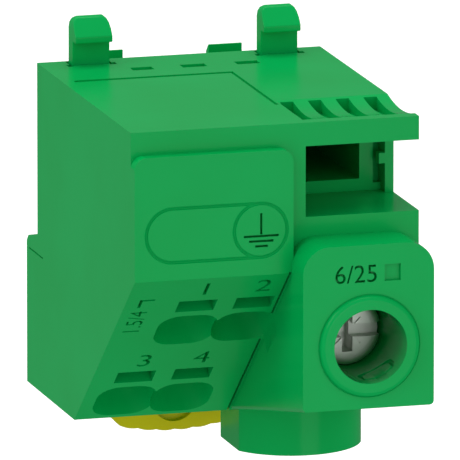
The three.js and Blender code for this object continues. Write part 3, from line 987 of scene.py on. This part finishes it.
    def top(self, shell: bpy.types.Object) -> None:
        """Cut the L-shaped groove, the three pockets, the hooks' seats and the parting slit."""
        h = self.height
        tools = [
            extruded(
                [(1.5, 30.2), (21.15, 30.2), (21.15, 10.9), (21.58, 10.9), (21.58, 31.1), (1.5, 31.1)],
                Run.Z, h - 0.3, h + 1,
            ),
            cube((-1, 40, 16.95), (0.25, 46.5, 17.15)),
        ]
        for x0, x1 in ((10.1, 12.8), (16.4, 19.5), (23.3, 26.2)):
            tools.append(cube((x0, 34.9, h - 0.4), (x1, 36.55, h + 1)))
        for x in self.hooks:
            tools.append(cube((x - 0.3, 39.6, h - 1.2), (x + 5.0, 42.2, h + 1)))
            tools.append(cube((x - 0.75, 39.2, h - 0.8), (x + 0.1, 40.3, h + 1)))
            tools.append(cube((x + 4.6, 39.2, h - 0.8), (x + 5.45, 40.3, h + 1)))
        for tool in tools:
            combine(shell, tool, Cut.TAKE)

    def build(self) -> None:
        """Model the whole shell and hand it over."""
        shell = self.body()
        combine(shell, self.pod(), Cut.JOIN)
        combine(shell, self.cable_boss(), Cut.JOIN)
        soften(clean(shell), self.edge, 2)
        combine(shell, self.ring(), Cut.JOIN)
        self.hollow(shell)
        self.lip(shell)
        self.terminals(shell)
        self.top(shell)
        self.marks(shell)
        self.hand_over(clean(shell), "housing", "housing", "green_plastic", ["housing_shell"])


# ---------------------------------------------------------------- smaller pieces


@dataclass
class Refined(Piece):
    """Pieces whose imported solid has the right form: each is copied, merged and given rounded edges."""

    merge: float = 2e-3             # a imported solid's doubled points lie within this many mm
    hook_width: float = 4.7
    hook_top: float = 46.95

    def copy(self, node: str) -> bpy.types.Object:
        """Return a merged copy of a node's mesh in block millimetres.

        Args:
            node: The node to copy.
        """
        bpy.ops.object.select_all(action="DESELECT")
        item = bpy.data.objects.new(node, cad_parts[node].data.copy())
        bpy.context.scene.collection.objects.link(item)
        transform(item, self.datum.matrix().inverted())
        for name in [layer.name for layer in item.data.uv_layers]:
            item.data.uv_layers.remove(item.data.uv_layers[name])
        return clean(item, self.merge)

    def build(
        self, node: str, name: str, body: str, slot: str, width: float, segments: int = 3,
        cuts: Sequence[bpy.types.Object] = (),
    ) -> None:
        """Round a node's edges and hand the copy over.

        Args:
            node: The node to copy.
            name: The new piece's name.
            body: The body that it rides on.
            slot: The record's material slot.
            width: How far the rounding reaches from an edge, in mm.
            segments: The number of its steps.
            cuts: Tools that are taken away before the edges are rounded.
        """
        item = self.copy(node)
        for tool in cuts:
            combine(item, tool, Cut.TAKE)
        self.hand_over(soften(item, width, segments), name, body, slot, [node])

    def shoulders(self, left: float) -> list[bpy.types.Object]:
        """Return the two tools that slope a snap hook's upper corners.

        Args:
            left: The hook's left side.
        """
        front, back = 35.0, 46.0
        curve = [
            (-1, -1.5), (0, -1.5), (0.1, -0.85), (0.3, -0.4), (0.62, -0.1), (0.8, 0.05), (0.8, 1), (-1, 1),
        ]
        near = [(left + u, self.hook_top + v) for u, v in curve]
        far = [(left + self.hook_width - u, self.hook_top + v) for u, v in reversed(curve)]
        return [extruded(outline, Run.Y, front, back) for outline in (near, far)]

    def tab_step(self) -> bpy.types.Object:
        """Return the tool that lowers the two rail tabs in front of their raised ends."""
        return cube((8, 42.6, 39.3), (29, 50, 41))

    def dimple(self) -> bpy.types.Object:
        """Return the tool for the round dimple in the latch's pull tab."""
        return barrel((18, 43.6, -2.7), 2.86, 1.8, Run.Y)


@dataclass
class TerminalScrew(Piece):
    """The clamp's cheese-head screw with a slot and a cross recess."""

    axis: Point = (27.75, 14.5)
    head_y: float = 2.4
    head_radius: float = 4.3
    head_length: float = 2.5
    shank_radius: float = 3.0
    tip_y: float = 20.7
    pitch: float = 1.0
    end_flat: float = 0.4
    slot_half: float = 0.82
    slot_deep: float = 1.8
    arm_half: float = 0.66
    arm_reach: float = 2.6
    arm_deep: float = 3.2

    def build(self) -> None:
        """Turn the head and the threaded shank, cut the drive and hand the screw over."""
        y, r = self.head_y, self.head_radius
        # The crown of the head: shares of its radius, and how far behind its face each lies.
        crown = [(0.3, 0.005), (0.5, 0.02), (0.68, 0.05), (0.82, 0.1), (0.91, 0.2), (0.97, 0.38), (1, 0.65)]
        neck, core = self.shank_radius - 0.15, self.shank_radius - 0.45
        profile = [(self.end_flat, y)] + [(r * share, y + deep) for share, deep in crown]
        profile += [
            (r, y + 2.3), (r - 0.2, y + self.head_length), (neck, y + self.head_length), (neck, y + 4.2),
        ]
        place = y + 4.4
        while place + self.pitch < self.tip_y - 1:
            profile += [(core, place), (self.shank_radius, place + self.pitch / 2)]
            place += self.pitch
        profile += [(core, place), (self.shank_radius - 1, self.tip_y), (self.end_flat, self.tip_y)]
        x, z = self.axis
        screw = turned(profile, x, z)
        slot = cube((x - 5, y - 1, z - self.slot_half), (x + 5, y + self.slot_deep, z + self.slot_half))
        arm = cube(
            (x - self.arm_half, y - 1, z - self.arm_reach),
            (x + self.arm_half, y + self.arm_deep, z + self.arm_reach),
        )
        for tool in (slot, arm):
            combine(screw, tool, Cut.TAKE)
        for turn in (45, 135):
            tick = cube((-2.3, y - 1, -0.09), (2.3, y + 0.3, 0.09))
            spin = Matrix.Translation((x, 0, z)) @ Matrix.Rotation(math.radians(turn), 4, "Y")
            combine(screw, transform(tick, spin), Cut.TAKE)
        self.hand_over(clean(screw), "clamp_screw", "screw", "plated_steel", ["terminal_screw"])


@dataclass
class LatchSpring(Piece):
    """The small coil that pushes the foot latch back under the rail."""

    axis: Point = (18.0, 44.6)
    seat: float = 4.5
    low: float = 4.75
    high: float = 11.95
    radius: float = 1.2
    wire: float = 0.25
    turns: int = 6
    steps: int = 16
    keep: float = 0.56

    def build(self) -> None:
        """Wind the coil and hand it over."""
        count = self.turns * self.steps
        points = []
        for i in range(count + 1):
            turn = math.tau * i / self.steps
            points.append(Vector((
                self.axis[0] + self.radius * math.cos(turn), self.axis[1] + self.radius * math.sin(turn),
                self.low + (self.high - self.low) * i / count,
            )))
        coil = round_bar(points, self.wire, False)
        self.hand_over(coil, "latch_coil", "housing", "spring_steel", ["latch_spring"])
        anchor = self.datum.matrix() @ Vector((*self.axis, self.seat))
        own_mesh(coil)


# ---------------------------------------------------------------- studio


@dataclass
class Studio:
    """The pale floor, the soft lights and the camera."""

    floor_drop: float = 0.06
    camera_place: Triple = (-0.52170, -1.85012, 0.43280)
    camera_look: Triple = (0.2687, 0.9386, -0.2163)
    lens: float = 1252.5
    floor_glow: float = 0.12
    world: float = 0.72             # the surround's strength as a light
    reflected: float = 0.16         # and as it shows in reflections, so that dark colours stay deep

    def floor(self) -> None:
        """Add the pale floor under the part."""
        low = CAD_BOX[0].z - self.floor_drop
        bpy.ops.object.select_all(action="DESELECT")
        bpy.ops.mesh.primitive_grid_add(x_subdivisions=8, y_subdivisions=8, size=12, location=(0, 0, low))
        floor = settle(bpy.context.active_object)
        floor.name = "studio_floor"
        material = bpy.data.materials.new("pale_paper_sweep")
        material.use_nodes = True
        shader = material.node_tree.nodes["Principled BSDF"]
        shader.inputs["Base Color"].default_value = linear("FFFFFF")
        shader.inputs["Roughness"].default_value = 1.0
        shader.inputs["Specular IOR Level"].default_value = 0.0
        shader.inputs["Emission Color"].default_value = linear("FFFFFF")
        shader.inputs["Emission Strength"].default_value = self.floor_glow
        floor.data.materials.append(material)
        floor.visible_glossy = False
        floor.visible_diffuse = False

    def light(self, name: str, place: Triple, size: float, power: float) -> None:
        """Add one square soft light that faces the part.

        Args:
            name: The light's name.
            place: Where it stands, in metres from the part's middle.
            size: Its side in metres.
            power: Its power in watts.
        """
        data = bpy.data.lights.new(name, "AREA")
        data.size, data.energy = size, power
        lamp = bpy.data.objects.new(name, data)
        bpy.context.scene.collection.objects.link(lamp)
        lamp.location = place
        lamp.rotation_euler = (-Vector(place)).to_track_quat("-Z", "Y").to_euler()

    def lights(self) -> None:
        """Add the surround and the lights."""
        world = bpy.data.worlds.new("soft_tent")
        world.use_nodes = True
        tree = world.node_tree
        surround = tree.nodes["Background"]
        surround.inputs["Color"].default_value = linear("FFFFFF")
        path = add_node(tree, "ShaderNodeLightPath", {}, {})
        dimmed = add_node(
            tree, "ShaderNodeMapRange", {"To Min": self.world, "To Max": self.reflected},
            {"Value": path.outputs["Is Glossy Ray"]},
        )
        tree.links.new(dimmed.outputs["Result"], surround.inputs["Strength"])
        bpy.context.scene.world = world
        self.light("overhead", (0.1, 0.5, 2.4), 1.6, 22.0)
        self.light("left_key", (-2.0, -0.5, 1.5), 1.2, 13.0)
        self.light("front_fill", (0.7, -2.4, -0.5), 1.3, 9.0)
        self.light("bore_light", (0.25, -2.45, -0.15), 0.5, 9.0)
        self.light("rear_rim", (-0.9, 1.9, 2.0), 1.2, 3.0)

    def camera(self) -> None:
        """Add the camera."""
        data = bpy.data.cameras.new("camera")
        data.sensor_width, data.lens = 36, self.lens
        data.clip_start, data.clip_end = 0.1, 20
        camera = bpy.data.objects.new("camera", data)
        bpy.context.scene.collection.objects.link(camera)
        camera.location = self.camera_place
        camera.rotation_euler = Vector(self.camera_look).to_track_quat("-Z", "Y").to_euler()
        bpy.context.scene.camera = camera

    def build(self) -> None:
        """Set up the whole studio."""
        self.floor()
        self.lights()
        self.camera()
        bpy.context.scene.view_settings.view_transform = "Standard"


def main() -> None:
    """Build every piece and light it."""
    logging.basicConfig(level=logging.INFO, format="%(name)s: %(message)s")
    finishes = Finishes()
    HousingShell(finishes).build()
    refined = Refined(finishes)
    step = [refined.tab_step()]
    refined.build("rear_cover", "rear_cover_and_tabs", "housing", "green_plastic", 0.2, cuts=step)
    for side, left in zip(("left", "right"), HousingShell.hooks, strict=True):
        cuts = refined.shoulders(left)
        refined.build(f"snap_hook_{side}", f"hook_{side}", f"hook_{side}", "green_plastic", 0.16, cuts=cuts)
    dimple = [refined.dimple()]
    refined.build("rail_latch", "rail_foot_latch", "latch", "yellow_plastic", 0.12, 2, cuts=dimple)
    refined.build("screw_washer", "washer", "housing", "plated_steel", 0.1, 2)
    refined.build("clamp_cage", "cage", "cage", "plated_steel", 0.4)
    refined.build("earth_busbar", "busbar", "housing", "tinned_copper", 0.15, 2)
    for row in ("upper", "lower"):
        refined.build(f"contact_bar_{row}", f"contact_{row}", "housing", "tinned_copper", 0.12, 2)
    for i in range(1, 5):
        refined.build(f"clamp_spring_{i}", f"bow_spring_{i}", "housing", "spring_steel", 0.08, 2)
        refined.build(f"clamp_tongue_{i}", f"spring_tongue_{i}", f"tongue_{i}", "spring_steel", 0.08, 2)
    TerminalScrew(finishes).build()
    LatchSpring(finishes).build()
    Studio().build()


if __name__ == "__main__":
    main()
